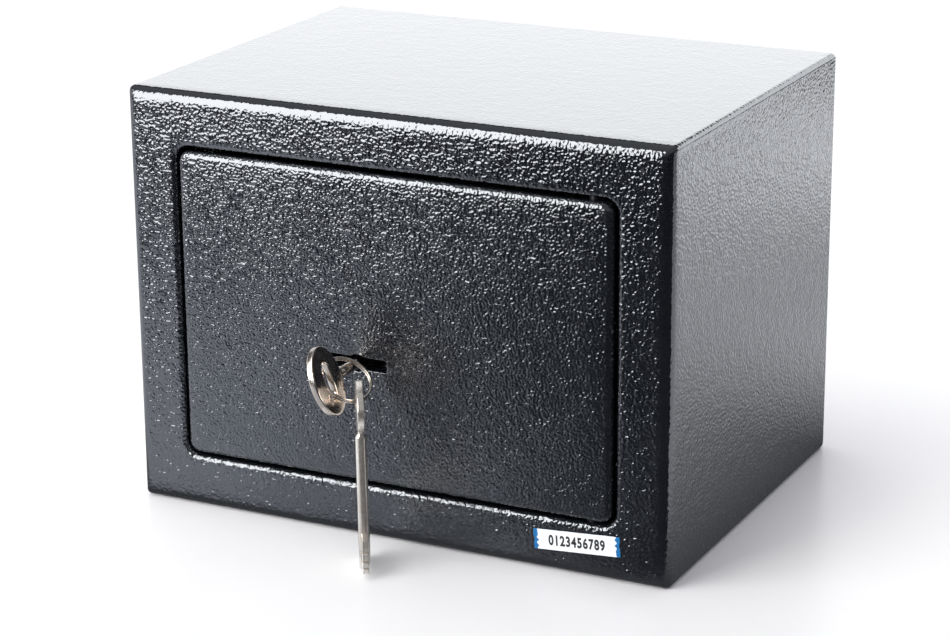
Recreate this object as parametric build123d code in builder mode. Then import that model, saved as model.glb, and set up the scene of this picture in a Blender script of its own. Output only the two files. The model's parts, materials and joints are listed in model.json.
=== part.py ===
from build123d import *
import os
from math import cos, radians, sin

# Small key-locked steel safe, in millimetres. The origin is the centre of the base, on the floor.
# +X is to the right seen from the front, the door faces -Y and +Z is up.
# A depth is measured backwards from the flat face of the front frame.

# ---- Cabinet ----
body_width = 230.0
body_depth = 173.0
body_height = 170.0
body_sheet = 1.2
body_corner_radius = 2.0
body_edge_radius = 4.0
panel_skirt = 10.0            # how far the front and back pressings wrap round the sides
frame_border = 21.6
opening_corner_radius = 6.0
opening_edge_radius = 2.3
flange_depth = 14.0           # return flange round the doorway
anchor_hole_radius = 5.0
anchor_spacing = 100.0
base_anchor_from_back = 60.0
back_anchor_height = 110.0
mat_thickness = 2.0
mat_margin = 1.0
mat_hole_radius = 9.0

# ---- Door ----
door_gap = 1.5
door_thickness = 3.0
door_proud = 0.8
door_corner_radius = 4.5
door_edge_radius = 2.5
cover_inset_top = 4.0         # door edge to inner cover, top and bottom
cover_inset_bolt_side = 4.5
cover_inset_hinge_side = 20.0
cover_sheet = 1.2
cover_back_depth = 44.2
cover_corner_radius = 4.0
cover_post_radius = 3.5
cover_post_inset = 9.0
cover_screw_radius = 2.0
cover_screw_head_radius = 4.0
cover_screw_head_height = 2.2
cover_screw_length = 8.0

# ---- Hinges ----
hinge_inset = 9.0             # hinge axis from the door's edge
hinge_setback = 6.0           # hinge axis behind the door's front face
pin_radius = 2.5
pin_head_radius = 4.0
pin_head_height = 1.5
running_clearance = 0.05
lug_half_width = 7.0
lug_height = 9.0
lug_wall = 5.0                # metal behind the pin
lug_top_clearance = 0.6
bracket_thickness = 3.0
bracket_half_width = 9.0

# ---- Keyhole and key ----
keyhole_inset = 77.5          # keyhole's centre from the door's free edge
keyhole_z = 71.5
keyhole_side_clearance = 0.8
keyhole_slot_height = 4.8
keyhole_slot_corner = 1.0
keyhole_bore_radius = 3.4
keyhole_lip_radius = 0.5
bow_across = 27.2
bow_along = 19.4
bow_thickness = 2.8
bow_rim_radius = 0.4
bow_slot_length = 14.4
bow_slot_width = 5.2
bow_standoff = 24.5           # bow centre in front of the cabinet's front face
bow_lean = 20.0               # degrees that the inserted bow's top leans to the left
key_reach = 62.9              # bow centre to the tip of the shaft
tip_clearance = 0.8           # key's tip to the lock's cover
shaft_radius = 2.15
neck_half_width = 4.2
neck_length = 2.6
bit_reach = 12.1              # the cut that throws the bolts
bit_thickness = 2.5
lever_bit_reach = (9.6, 11.2, 8.9, 10.4, 11.6)   # one cut for each lever, bow end first

# ---- Key ring and spare key ----
ring_radius = 9.9
ring_wire_radius = 0.5
ring_turn_gap = 0.04
ring_centre_in_key = (-2.82, -8.70, 3.02)   # across, along, off the inserted bow's centre
ring_axis_in_key = (0.5385, 0.270, 0.798)
spare_centre_in_key = (-12.36, -1.46, 9.62)
spare_direction = (0.0690, -0.0965, -0.9929)   # from the spare key's bow to its tip
spare_face_direction = (0.8565, 0.5160, 0.0094)

# ---- Bolts and carriage ----
bolt_radius = 5.0
bolt_throw = 8.0
bolt_tip_inset = 1.4          # retracted tip inside the door's edge
bolt_flange_play = 0.9        # bolt behind the return flange
bolt_inset = 24.9             # bolt's centre from the door's top and bottom edges
bolt_chamfer = 1.0
carriage_thickness = 3.0
carriage_bar_width = 12.0
carriage_bar_overhang = 8.0
carriage_bar_inset = 31.9     # bar's inner edge from the door's free edge, bolts retracted
carriage_tail_height = 16.0
carriage_leg = 5.0
talon_notch = (-7.0, -0.5)
talon_tooth_width = 4.0
talon_tooth_bottom = 9.2
bit_window_clearance = 0.9
stump_radius = 2.0
stump_offset = (-8.0, 21.0)
guide_sheet = 2.0
guide_inset = 7.9             # guide's face from the door's free edge
guide_foot = 9.0
guide_margin = 10.0
guide_clearance = 0.1
bolt_hole_clearance = 0.5     # bolts through the inner cover
bolt_screw_radius = 2.0
bolt_screw_head_radius = 3.6
bolt_screw_head_height = 1.6

# ---- Lever lock ----
case_half_width = 36.0
case_below_key = 20.0
case_above_key = 35.0
case_sheet = 1.2
case_corner_radius = 2.0
case_running_gap = 1.2        # between the case's floor and the carriage
lever_thickness = 1.6
lever_gap = 0.3
lever_pivot = (14.0, 23.0)
lever_left = -22.0
lever_right = 19.5
lever_bottom = 9.0
lever_top = 29.0
lever_corner_radius = 2.5
lever_belly_clearance = 0.45
lever_gate_clearance = 0.35
lever_pocket_width = 5.4
lever_pocket_height = 9.0
lever_post_radius = 2.5
lock_cover_sheet = 1.2
lock_screw_radius = 1.6
lock_screw_head_radius = 3.0
lock_screw_head_height = 1.8
lock_screw_inset = 3.8
standoff_radius = 3.5
guide_tube_wall = 1.2

# ---- Inventory label ----
label_width = 35.5
label_height = 8.0
label_thickness = 0.15
label_inset = (37.0, 13.4)    # label's centre from the cabinet's right side and base
label_tilt = 3.9

# ---- Worked out from the driving sizes ----
front_y = -body_depth / 2
body_centre_z = body_height / 2
opening_width = body_width - 2 * frame_border
opening_height = body_height - 2 * frame_border
opening_top = body_height - frame_border
door_width = opening_width - 2 * door_gap
door_height = opening_height - 2 * door_gap
door_back = door_thickness - door_proud
door_left = -door_width / 2
door_right = door_width / 2
door_bottom = frame_border + door_gap
hinge_x = door_right - hinge_inset
hinge_depth = hinge_setback - door_proud
keyhole_x = door_left + keyhole_inset
keyhole_length = 2 * (bit_reach + keyhole_side_clearance)
bolt_depth = flange_depth + bolt_flange_play + bolt_radius
carriage_depth = bolt_depth + bolt_radius
case_depth = carriage_depth - case_running_gap - case_sheet
lever_pitch = lever_thickness + lever_gap
lever_start_depth = carriage_depth + carriage_thickness + lever_gap
lever_end_depth = lever_start_depth + len(lever_bit_reach) * lever_pitch
lock_cover_depth = key_reach - bow_standoff + tip_clearance
bolt_cut_depth = carriage_depth - lever_gap
bolt_tip_x = door_left + bolt_tip_inset
bolt_heights = (door_bottom + bolt_inset, door_bottom + door_height - bolt_inset)
guide_x = door_left + guide_inset
carriage_bar_x = door_left + carriage_bar_inset
lock_screw_x = case_half_width - lock_screw_inset
label_centre = (body_width / 2 - label_inset[0], label_inset[1])
lock_screw_places = [
    (keyhole_x + side * lock_screw_x, keyhole_z + height)
    for side in (-1, 1)
    for height in (lock_screw_inset - case_below_key, case_above_key - lock_screw_inset)
]
cover_left = door_left + cover_inset_bolt_side
cover_right = door_right - cover_inset_hinge_side
cover_height = door_height - 2 * cover_inset_top
cover_post_places = [
    (x, body_centre_z + side * (cover_height / 2 - cover_post_inset))
    for x in (cover_left + 2 * cover_post_inset, cover_right - cover_post_inset)
    for side in (-1, 1)
]


def at_depth(depth):
    """Sketch plane parallel to the front, seen from the front, that far behind it."""
    return Plane.XZ.offset(body_depth / 2 - depth)


def save(piece, node):
    """Name a finished piece and write its STEP file."""
    piece.part.label = node
    export_step(piece.part, f"parts/{node}.step")


def keyhole_outline(growth=0.0, mode=Mode.ADD):
    """Keyhole of a double-bitted key: a flat slot with a round bore in its middle."""
    with Locations((keyhole_x, keyhole_z)):
        RectangleRounded(keyhole_length + 2 * growth, keyhole_slot_height + 2 * growth,
                         keyhole_slot_corner + growth, mode=mode)
        Circle(keyhole_bore_radius + growth, mode=mode)


def key_frame():
    """Plane of the inserted key: x across the bow, y out towards the user, z off its face."""
    lean = radians(bow_lean)
    return Plane(
        origin=(keyhole_x, front_y - bow_standoff, keyhole_z),
        x_dir=(-sin(lean), 0, cos(lean)),
        z_dir=(cos(lean), 0, sin(lean)),
    )


def ring_frame():
    """Plane of the split ring, threaded through the inserted key's slot."""
    key = key_frame()
    axis = key.from_local_coords(Vector(*ring_axis_in_key)) - key.origin
    return Plane(origin=key.from_local_coords(Vector(*ring_centre_in_key)), z_dir=axis)


def spare_frame():
    """Plane of the spare key, hanging from the ring with its tip just off the floor."""
    down = Vector(*spare_direction)
    face = Vector(*spare_face_direction)
    centre = key_frame().from_local_coords(Vector(*spare_centre_in_key))
    return Plane(origin=centre, x_dir=face.cross(down), z_dir=face)


def add_key(piece, frame):
    """Double-bitted safe key, from its oval bow at the frame's origin to its stepped bits."""
    tip = -key_reach
    neck_end = -bow_along / 2 - neck_length
    cuts = [(bit_reach, bolt_cut_depth, lever_start_depth - lever_gap / 2)]
    for index, reach in enumerate(lever_bit_reach):
        start = lever_start_depth + index * lever_pitch - lever_gap / 2
        cuts.append((reach, start, start + lever_pitch))
    with BuildSketch(frame) as bow:
        Ellipse(bow_across / 2, bow_along / 2)
        SlotOverall(bow_slot_length, bow_slot_width, mode=Mode.SUBTRACT)
    extrude(bow.sketch, amount=bow_thickness / 2, both=True)
    flats = piece.faces().filter_by(GeomType.PLANE).group_by(SortBy.AREA)[-1]
    fillet(flats.edges(), radius=bow_rim_radius)
    with BuildSketch(frame) as neck:
        with BuildLine():
            Polyline(
                (-neck_half_width, -bow_along / 2 + neck_length),
                (neck_half_width, -bow_along / 2 + neck_length),
                (shaft_radius, neck_end),
                (-shaft_radius, neck_end),
                close=True,
            )
        make_face()
    extrude(neck.sketch, amount=bow_thickness / 2 - bow_rim_radius, both=True)
    with BuildSketch(frame) as bits:
        for reach, start, end in cuts:
            with Locations((0, -bow_standoff - start)):
                Rectangle(2 * reach, end - start, align=(Align.CENTER, Align.MAX))
    extrude(bits.sketch, amount=bit_thickness / 2, both=True)
    along = Plane(origin=frame.from_local_coords(Vector(0, tip, 0)), z_dir=frame.y_dir)
    with BuildSketch(along) as shaft:
        Circle(shaft_radius)
    extrude(shaft.sketch, amount=key_reach + neck_end + neck_length)


os.makedirs("parts", exist_ok=True)

# ==== Cabinet ====

with BuildPart() as front_frame:
    with BuildSketch(at_depth(0)):
        with Locations((0, body_centre_z)):
            RectangleRounded(body_width, body_height, body_corner_radius)
    extrude(amount=-panel_skirt)
    fillet(front_frame.faces().sort_by(Axis.Y)[0].edges(), radius=body_edge_radius)
    offset(amount=-body_sheet, openings=front_frame.faces().sort_by(Axis.Y)[-1])
    with BuildSketch(at_depth(0)):
        with Locations((0, body_centre_z)):
            RectangleRounded(opening_width + 2 * body_sheet, opening_height + 2 * body_sheet,
                             opening_corner_radius + body_sheet)
    extrude(amount=-flange_depth)
    with BuildSketch(at_depth(0)):
        with Locations((0, body_centre_z)):
            RectangleRounded(opening_width, opening_height, opening_corner_radius)
    extrude(amount=-flange_depth, mode=Mode.SUBTRACT)
    face_plate = front_frame.faces().filter_by(Axis.Y).sort_by(Axis.Y)[0]
    fillet(face_plate.inner_wires()[0].edges(), radius=opening_edge_radius)
    with BuildSketch(Plane.XY.offset(body_centre_z)):
        with Locations((hinge_x, front_y + hinge_depth)):
            Circle(pin_radius)
    extrude(amount=opening_height / 2 + 2 * body_sheet, both=True, mode=Mode.SUBTRACT)
    # Welded from two straight sides and two ends that carry the corners.
    for height in (frame_border + opening_corner_radius, opening_top - opening_corner_radius):
        split(bisect_by=Plane.XY.offset(height), keep=Keep.BOTH)
save(front_frame, "front_frame")

with BuildPart() as cabinet_wrap:
    with BuildSketch(at_depth(panel_skirt)):
        with Locations((0, body_centre_z)):
            RectangleRounded(body_width, body_height, body_corner_radius)
            RectangleRounded(body_width - 2 * body_sheet, body_height - 2 * body_sheet,
                             body_corner_radius - body_sheet, mode=Mode.SUBTRACT)
    extrude(amount=2 * panel_skirt - body_depth)
    with BuildSketch(Plane.XY):
        with Locations((0, body_depth / 2 - base_anchor_from_back)):
            with GridLocations(anchor_spacing, 0, 2, 1):
                Circle(anchor_hole_radius)
    extrude(amount=body_sheet, mode=Mode.SUBTRACT)
save(cabinet_wrap, "cabinet_wrap")

with BuildPart() as back_panel:
    with BuildSketch(at_depth(body_depth)):
        with Locations((0, body_centre_z)):
            RectangleRounded(body_width, body_height, body_corner_radius)
    extrude(amount=panel_skirt)
    fillet(back_panel.faces().sort_by(Axis.Y)[-1].edges(), radius=body_edge_radius)
    offset(amount=-body_sheet, openings=back_panel.faces().sort_by(Axis.Y)[0])
    with BuildSketch(at_depth(body_depth)):
        with Locations((0, back_anchor_height)):
            with GridLocations(anchor_spacing, 0, 2, 1):
                Circle(anchor_hole_radius)
    extrude(amount=body_sheet, mode=Mode.SUBTRACT)
save(back_panel, "back_panel")

with BuildPart() as floor_mat:
    mat_length = body_depth - 2 * panel_skirt - 2 * mat_margin
    with BuildSketch(Plane.XY.offset(body_sheet)):
        Rectangle(body_width - 2 * body_corner_radius - 2 * mat_margin, mat_length)
        with Locations((0, body_depth / 2 - base_anchor_from_back)):
            with GridLocations(anchor_spacing, 0, 2, 1):
                Circle(mat_hole_radius, mode=Mode.SUBTRACT)
    extrude(amount=mat_thickness)
save(floor_mat, "floor_mat")

with BuildPart() as hinge_brackets:
    bracket_y = front_y + (body_sheet + flange_depth) / 2
    with BuildSketch(Plane.XY.offset(opening_top + body_sheet)):
        with Locations((hinge_x, bracket_y)):
            Rectangle(2 * bracket_half_width, flange_depth - body_sheet)
        with Locations((hinge_x, front_y + hinge_depth)):
            Circle(pin_radius, mode=Mode.SUBTRACT)
    extrude(amount=bracket_thickness)
    mirror(about=Plane.XY.offset(body_centre_z))
save(hinge_brackets, "hinge_brackets")

with BuildPart() as hinge_pins:
    pin_top = opening_top + body_sheet + bracket_thickness
    lug_bottom = opening_top - door_gap - lug_top_clearance - lug_height
    with BuildSketch(Plane.XY.offset(lug_bottom)):
        with Locations((hinge_x, front_y + hinge_depth)):
            Circle(pin_radius)
    extrude(amount=pin_top - lug_bottom)
    with BuildSketch(Plane.XY.offset(pin_top)):
        with Locations((hinge_x, front_y + hinge_depth)):
            Circle(pin_head_radius)
    extrude(amount=pin_head_height)
    mirror(about=Plane.XY.offset(body_centre_z))
save(hinge_pins, "hinge_pins")

with BuildPart() as serial_label:
    with BuildSketch(at_depth(0)):
        with Locations(Location((*label_centre, 0), (0, 0, label_tilt))):
            Rectangle(label_width, label_height)
    extrude(amount=label_thickness)
save(serial_label, "serial_label")

# ==== Door ====

with BuildPart() as door_plate:
    with BuildSketch(at_depth(-door_proud)):
        with Locations((0, body_centre_z)):
            RectangleRounded(door_width, door_height, door_corner_radius)
    extrude(amount=-door_thickness)
    fillet(door_plate.faces().sort_by(Axis.Y)[0].edges(), radius=door_edge_radius)
    with BuildSketch(at_depth(-door_proud)):
        keyhole_outline()
    extrude(amount=-door_thickness, mode=Mode.SUBTRACT)
    door_face = door_plate.faces().filter_by(Axis.Y).sort_by(Axis.Y)[0]
    fillet(door_face.inner_wires()[0].edges(), radius=keyhole_lip_radius)
save(door_plate, "door_plate")

with BuildPart() as hinge_lugs:
    lug_top = opening_top - door_gap - lug_top_clearance
    lug_depth = hinge_depth + lug_wall
    with BuildSketch(Plane.XY.offset(lug_top)):
        with Locations((hinge_x, front_y + (door_back + lug_depth) / 2)):
            Rectangle(2 * lug_half_width, lug_depth - door_back)
        with Locations((hinge_x, front_y + hinge_depth)):
            Circle(pin_radius + running_clearance, mode=Mode.SUBTRACT)
    extrude(amount=-lug_height)
    mirror(about=Plane.XY.offset(body_centre_z))
save(hinge_lugs, "hinge_lugs")

with BuildPart() as key_guide:
    with BuildSketch(at_depth(door_back)):
        keyhole_outline(growth=guide_tube_wall)
        keyhole_outline(mode=Mode.SUBTRACT)
    extrude(amount=door_back - case_depth)
save(key_guide, "key_guide")

with BuildPart() as bolt_guide:
    guide_depth = carriage_depth + carriage_thickness + bolt_radius
    guide_bottom = min(bolt_heights) - guide_margin
    guide_height = max(bolt_heights) + guide_margin - guide_bottom
    guide_z = guide_bottom + guide_height / 2
    with BuildSketch(at_depth(door_back)):
        with Locations((guide_x, guide_z)):
            Rectangle(guide_sheet, guide_height, align=(Align.MAX, Align.CENTER))
    extrude(amount=door_back - guide_depth)
    with BuildSketch(at_depth(door_back)):
        with Locations((guide_x, guide_z)):
            Rectangle(guide_foot, guide_height, align=(Align.MIN, Align.CENTER))
    extrude(amount=-guide_sheet)
    with BuildSketch(Plane.YZ.offset(guide_x)):
        with Locations(*[(front_y + bolt_depth, z) for z in bolt_heights]):
            Circle(bolt_radius + guide_clearance)
    extrude(amount=-guide_sheet, mode=Mode.SUBTRACT)
save(bolt_guide, "bolt_guide")

with BuildPart() as lock_standoffs:
    with BuildSketch(at_depth(door_back)):
        with Locations(*lock_screw_places):
            Circle(standoff_radius)
            Circle(lock_screw_radius, mode=Mode.SUBTRACT)
    extrude(amount=door_back - case_depth)
save(lock_standoffs, "lock_standoffs")

with BuildPart() as lock_case:
    case_centre_z = keyhole_z + (case_above_key - case_below_key) / 2
    case_height = case_above_key + case_below_key
    with BuildSketch(at_depth(case_depth)):
        with Locations((keyhole_x, case_centre_z)):
            RectangleRounded(2 * case_half_width, case_height, case_corner_radius)
    extrude(amount=case_depth - lock_cover_depth)
    with BuildSketch(at_depth(case_depth + case_sheet)):
        with Locations((keyhole_x, case_centre_z)):
            Rectangle(2 * (case_half_width - case_sheet), case_height - 2 * case_sheet)
    extrude(amount=case_depth + case_sheet - lock_cover_depth, mode=Mode.SUBTRACT)
    with BuildSketch(at_depth(case_depth)):
        keyhole_outline()
        with Locations(*lock_screw_places):
            Circle(lock_screw_radius)
    extrude(amount=-case_sheet, mode=Mode.SUBTRACT)
    with BuildSketch(at_depth(carriage_depth - lever_gap)):
        with Locations((keyhole_x - case_half_width + case_sheet / 2, keyhole_z)):
            Rectangle(2 * case_sheet, carriage_tail_height + 2 * lever_gap)
    extrude(amount=-(carriage_thickness + 2 * lever_gap), mode=Mode.SUBTRACT)
save(lock_case, "lock_case")

with BuildPart() as lever_post:
    with BuildSketch(at_depth(case_depth + case_sheet)):
        with Locations((keyhole_x + lever_pivot[0], keyhole_z + lever_pivot[1])):
            Circle(lever_post_radius)
    extrude(amount=case_depth + case_sheet - lock_cover_depth)
save(lever_post, "lever_post")

with BuildPart() as lock_cover:
    with BuildSketch(at_depth(lock_cover_depth)):
        with Locations((keyhole_x, case_centre_z)):
            RectangleRounded(2 * case_half_width, case_height, case_corner_radius)
        with Locations(*lock_screw_places):
            Circle(lock_screw_radius, mode=Mode.SUBTRACT)
    extrude(amount=-lock_cover_sheet)
save(lock_cover, "lock_cover")

with BuildPart() as lock_screws:
    screw_head_depth = lock_cover_depth + lock_cover_sheet
    with BuildSketch(at_depth(door_back)):
        with Locations(*lock_screw_places):
            Circle(lock_screw_radius)
    extrude(amount=door_back - screw_head_depth)
    with BuildSketch(at_depth(screw_head_depth)):
        with Locations(*lock_screw_places):
            Circle(lock_screw_head_radius)
    extrude(amount=-lock_screw_head_height)
save(lock_screws, "lock_screws")

with BuildPart() as cover_posts:
    with BuildSketch(at_depth(door_back)):
        with Locations(*cover_post_places):
            RegularPolygon(cover_post_radius, 6)
    extrude(amount=door_back - (cover_back_depth - cover_sheet))
    with BuildSketch(at_depth(cover_back_depth - cover_sheet)):
        with Locations(*cover_post_places):
            Circle(cover_screw_radius)
    extrude(amount=cover_screw_length, mode=Mode.SUBTRACT)
save(cover_posts, "cover_posts")

with BuildPart() as door_cover:
    cover_centre = ((cover_left + cover_right) / 2, body_centre_z)
    with BuildSketch(at_depth(door_back)):
        with Locations(cover_centre):
            RectangleRounded(cover_right - cover_left, cover_height, cover_corner_radius)
    extrude(amount=door_back - cover_back_depth)
    fillet(door_cover.faces().sort_by(Axis.Y)[-1].edges(), radius=cover_corner_radius / 2)
    offset(amount=-cover_sheet, openings=door_cover.faces().sort_by(Axis.Y)[0])
    with BuildSketch(at_depth(cover_back_depth)):
        with Locations(*cover_post_places):
            Circle(cover_screw_radius)
    extrude(amount=cover_sheet, mode=Mode.SUBTRACT)
    with BuildSketch(Plane.YZ.offset(cover_left)):
        with Locations(*[(front_y + bolt_depth, z) for z in bolt_heights]):
            Circle(bolt_radius + bolt_hole_clearance)
    extrude(amount=cover_sheet, mode=Mode.SUBTRACT)
save(door_cover, "door_cover")

with BuildPart() as cover_screws:
    with BuildSketch(at_depth(cover_back_depth)):
        with Locations(*cover_post_places):
            Circle(cover_screw_radius)
    extrude(amount=cover_screw_length)
    with BuildSketch(at_depth(cover_back_depth)):
        with Locations(*cover_post_places):
            Circle(cover_screw_head_radius)
    extrude(amount=-cover_screw_head_height)
save(cover_screws, "cover_screws")

# ==== Boltwork, drawn unlocked ====

with BuildPart() as bolt_carriage:
    bar_height = max(bolt_heights) - min(bolt_heights) + 2 * carriage_bar_overhang
    bar_z = (max(bolt_heights) + min(bolt_heights)) / 2
    window_radius = bit_reach + bit_window_clearance
    plate_left = -window_radius - carriage_leg
    plate_right = window_radius + bolt_throw + carriage_leg
    plate_bottom = -case_below_key + case_sheet + lever_gap
    plate_top = case_above_key - case_sheet - lever_gap
    with BuildSketch(at_depth(carriage_depth)):
        with Locations((keyhole_x + plate_left, keyhole_z + plate_bottom)):
            Rectangle(plate_right - plate_left, plate_top - plate_bottom,
                      align=(Align.MIN, Align.MIN))
        with Locations((carriage_bar_x, keyhole_z)):
            Rectangle(keyhole_x + plate_left - carriage_bar_x, carriage_tail_height,
                      align=(Align.MIN, Align.CENTER))
        with Locations((carriage_bar_x, bar_z)):
            Rectangle(carriage_bar_width, bar_height, align=(Align.MAX, Align.CENTER))
        with Locations((keyhole_x + bolt_throw / 2, keyhole_z)):
            SlotOverall(2 * window_radius + bolt_throw, 2 * window_radius, mode=Mode.SUBTRACT)
        for tooth_left in (talon_notch[0] - talon_tooth_width, talon_notch[1]):
            with Locations((keyhole_x + tooth_left, keyhole_z + talon_tooth_bottom)):
                Rectangle(talon_tooth_width, window_radius - talon_tooth_bottom,
                          align=(Align.MIN, Align.MIN))
        with Locations((keyhole_x + lever_pivot[0] + bolt_throw / 2, keyhole_z + lever_pivot[1])):
            SlotCenterToCenter(bolt_throw, 2 * (lever_post_radius + lever_gap), mode=Mode.SUBTRACT)
        with Locations((keyhole_x + stump_offset[0], keyhole_z + stump_offset[1])):
            Circle(stump_radius, mode=Mode.SUBTRACT)
        with Locations(*[(carriage_bar_x - carriage_bar_width / 2, z) for z in bolt_heights]):
            Circle(bolt_screw_radius, mode=Mode.SUBTRACT)
    extrude(amount=-carriage_thickness)
save(bolt_carriage, "bolt_carriage")

with BuildPart() as bolt_stump:
    with BuildSketch(at_depth(carriage_depth)):
        with Locations((keyhole_x + stump_offset[0], keyhole_z + stump_offset[1])):
            Circle(stump_radius)
    extrude(amount=carriage_depth - lever_end_depth)
save(bolt_stump, "bolt_stump")

for bolt_name, bolt_z in zip(("lower_bolt", "upper_bolt"), bolt_heights):
    with BuildPart() as bolt:
        with BuildSketch(Plane.YZ.offset(bolt_tip_x)):
            with Locations((front_y + bolt_depth, bolt_z)):
                Circle(bolt_radius)
        extrude(amount=carriage_bar_x - bolt_tip_x)
        chamfer(bolt.faces().sort_by(Axis.X)[0].edges(), length=bolt_chamfer)
        with BuildSketch(at_depth(carriage_depth)):
            with Locations((carriage_bar_x - carriage_bar_width / 2, bolt_z)):
                Circle(bolt_screw_radius)
        extrude(amount=bolt_radius, mode=Mode.SUBTRACT)
    save(bolt, bolt_name)

with BuildPart() as bolt_screws:
    bolt_screw_places = [(carriage_bar_x - carriage_bar_width / 2, z) for z in bolt_heights]
    with BuildSketch(at_depth(carriage_depth + carriage_thickness)):
        with Locations(*bolt_screw_places):
            Circle(bolt_screw_radius)
    extrude(amount=carriage_thickness + bolt_radius)
    with BuildSketch(at_depth(carriage_depth + carriage_thickness)):
        with Locations(*bolt_screw_places):
            Circle(bolt_screw_head_radius)
    extrude(amount=-bolt_screw_head_height)
save(bolt_screws, "bolt_screws")

# ==== Levers, lifted to the line where the stump passes their gates ====

gate_height = 2 * (stump_radius + lever_gate_clearance)
for lever_index, lever_reach in enumerate(lever_bit_reach):
    with BuildPart() as lever:
        with BuildSketch(at_depth(lever_start_depth + lever_index * lever_pitch)):
            with Locations((keyhole_x + lever_left, keyhole_z + lever_bottom)):
                Rectangle(lever_right - lever_left, lever_top - lever_bottom,
                          align=(Align.MIN, Align.MIN))
            with Locations((keyhole_x, keyhole_z)):
                Circle(lever_reach + lever_belly_clearance, mode=Mode.SUBTRACT)
            with Locations((keyhole_x + lever_pivot[0], keyhole_z + lever_pivot[1])):
                Circle(lever_post_radius + running_clearance, mode=Mode.SUBTRACT)
            with Locations((keyhole_x + stump_offset[0] - bolt_throw / 2,
                            keyhole_z + stump_offset[1])):
                Rectangle(bolt_throw, gate_height, mode=Mode.SUBTRACT)
                with GridLocations(bolt_throw, 0, 2, 1):
                    Rectangle(lever_pocket_width, lever_pocket_height, mode=Mode.SUBTRACT)
        extrude(amount=-lever_thickness)
        outer_corners = lever.edges().filter_by(Axis.Y).group_by(Axis.Z)[-1]
        fillet(outer_corners, radius=lever_corner_radius)
    save(lever, f"lever_{lever_index + 1}")

# ==== Keys ====

with BuildPart() as key_in_lock:
    add_key(key_in_lock, key_frame())
save(key_in_lock, "key_in_lock")

with BuildPart() as key_ring:
    turn_offset = ring_wire_radius + ring_turn_gap / 2
    for side in (-1, 1):
        with Locations(Location(ring_frame().offset(side * turn_offset))):
            Torus(ring_radius, ring_wire_radius)
save(key_ring, "key_ring")

with BuildPart() as spare_key:
    add_key(spare_key, spare_frame())
save(spare_key, "spare_key")
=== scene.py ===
import json
import logging
from dataclasses import dataclass, field
from enum import Enum
from math import cos, pi, radians, sin
from typing import Any, Callable, NamedTuple, Protocol, Sequence

import bmesh
import bpy
import numpy as np
from mathutils import Matrix, Quaternion, Vector

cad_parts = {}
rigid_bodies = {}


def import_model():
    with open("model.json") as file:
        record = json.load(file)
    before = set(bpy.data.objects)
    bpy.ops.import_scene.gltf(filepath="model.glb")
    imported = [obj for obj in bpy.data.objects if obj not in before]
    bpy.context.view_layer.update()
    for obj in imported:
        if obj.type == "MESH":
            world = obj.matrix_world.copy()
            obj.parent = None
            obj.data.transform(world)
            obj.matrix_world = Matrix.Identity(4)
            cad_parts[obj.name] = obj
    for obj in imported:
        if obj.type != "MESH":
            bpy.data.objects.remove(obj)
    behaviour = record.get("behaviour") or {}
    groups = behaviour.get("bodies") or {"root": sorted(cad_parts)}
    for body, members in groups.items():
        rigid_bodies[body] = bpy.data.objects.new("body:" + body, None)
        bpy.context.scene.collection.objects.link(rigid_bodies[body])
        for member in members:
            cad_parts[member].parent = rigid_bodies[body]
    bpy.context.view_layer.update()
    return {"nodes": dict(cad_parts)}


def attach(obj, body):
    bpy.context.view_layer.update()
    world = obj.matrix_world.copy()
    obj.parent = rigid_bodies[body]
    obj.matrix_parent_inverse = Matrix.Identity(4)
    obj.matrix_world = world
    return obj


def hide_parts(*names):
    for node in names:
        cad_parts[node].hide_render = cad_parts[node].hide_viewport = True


for leftover in list(bpy.data.objects):
    bpy.data.objects.remove(leftover)
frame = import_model()

log = logging.getLogger("key_safe")
Array = np.ndarray
Colour = tuple[float, float, float]
Socket = bpy.types.NodeSocket
Material = bpy.types.Material
MM = 0.001
MERGE_DISTANCE = 1e-7
SHORTEST_EDGE = 1e-8
HALVINGS = 44
FRONT_Y = -86.5
MIDDLE_Z = 85.0
KEYHOLE = (-14.4, 71.5)
KEY_STANDOFF = 24.5


class Body(str, Enum):
    """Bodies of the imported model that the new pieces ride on."""

    CABINET = "cabinet"
    DOOR = "door"
    KEY = "key"
    RING = "ring"
    SPARE = "spare"


class Slot(str, Enum):
    """Material slots of the record."""

    PAINT = "hammer_paint"
    ZINC = "zinc"
    NICKEL = "nickel"
    PAPER = "label_paper"


# ---------------------------------------------------------------- meshes


def grid_faces(rows: int, columns: int, close_rows: bool, close_columns: bool) -> Array:
    """Quads of a grid of points, numbered row by row.

    Args:
        rows: number of rows of points.
        columns: number of points in a row.
        close_rows: whether the last row joins the first.
        close_columns: whether a row's last point joins its first.

    Returns:
        The corner numbers of each quad, one quad to a line.
    """
    i = np.arange(rows if close_rows else rows - 1)[:, None]
    j = np.arange(columns if close_columns else columns - 1)[None, :]
    below, beside = (i + 1) % rows, (j + 1) % columns
    corners = [i * columns + j, below * columns + j, below * columns + beside, i * columns + beside]
    return np.stack([c.ravel() for c in np.broadcast_arrays(*corners)], axis=1)


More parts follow.
